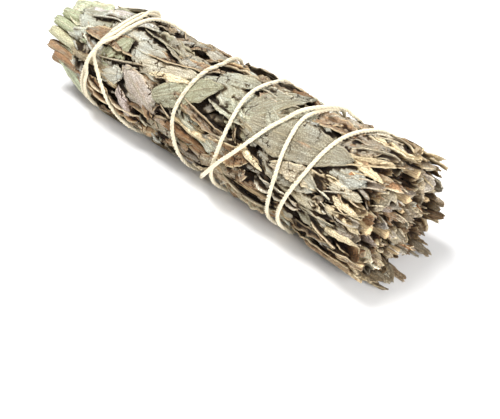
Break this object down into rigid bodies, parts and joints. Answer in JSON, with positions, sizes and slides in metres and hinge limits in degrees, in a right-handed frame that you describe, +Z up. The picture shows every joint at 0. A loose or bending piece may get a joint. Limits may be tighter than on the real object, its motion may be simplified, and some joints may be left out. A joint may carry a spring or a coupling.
{
  "type": "dried sage bunch",
  "caption": "Roll of dried sage stems and leaves, bound round and round with one cotton string, lying on its side.",
  "frame": {"origin": "on the surface that the bunch lies on, under the middle of the bunch", "axes": "+Z up; +X along the bunch, from its leafy tips to its cut stems; -Y to the side from which the pictured view looks"},
  "size_m": [0.1356, 0.0388, 0.0369],
  "materials": {
    "sage_leaf": "dry, velvety grey-green leaf with a fine pebbled grain",
    "sage_stem": "dry brown stem with lengthwise fibres",
    "cotton_string": "matt twisted cotton string"
  },
  "bodies": {
    "root": {"sprig_01_leaves": "sage_leaf", "sprig_01_stem": "sage_stem", "sprig_02_leaves": "sage_leaf", "sprig_02_stem": "sage_stem", "sprig_03_leaves": "sage_leaf", "sprig_03_stem": "sage_stem", "sprig_04_leaves": "sage_leaf", "sprig_04_stem": "sage_stem", "sprig_05_leaves": "sage_leaf", "sprig_05_stem": "sage_stem", "sprig_06_leaves": "sage_leaf", "sprig_06_stem": "sage_stem", "sprig_07_leaves": "sage_leaf", "sprig_07_stem": "sage_stem", "sprig_08_leaves": "sage_leaf", "sprig_08_stem": "sage_stem", "sprig_09_leaves": "sage_leaf", "sprig_09_stem": "sage_stem", "sprig_10_leaves": "sage_leaf", "sprig_10_stem": "sage_stem", "sprig_11_leaves": "sage_leaf", "sprig_11_stem": "sage_stem", "sprig_12_leaves": "sage_leaf", "sprig_12_stem": "sage_stem", "sprig_13_leaves": "sage_leaf", "sprig_13_stem": "sage_stem", "stalk_1": "sage_stem", "stalk_2": "sage_stem", "stalk_3": "sage_stem", "stalk_4": "sage_stem", "stalk_5": "sage_stem", "stalk_6": "sage_stem", "string": "cotton_string"}
  },
  "joints": []
}
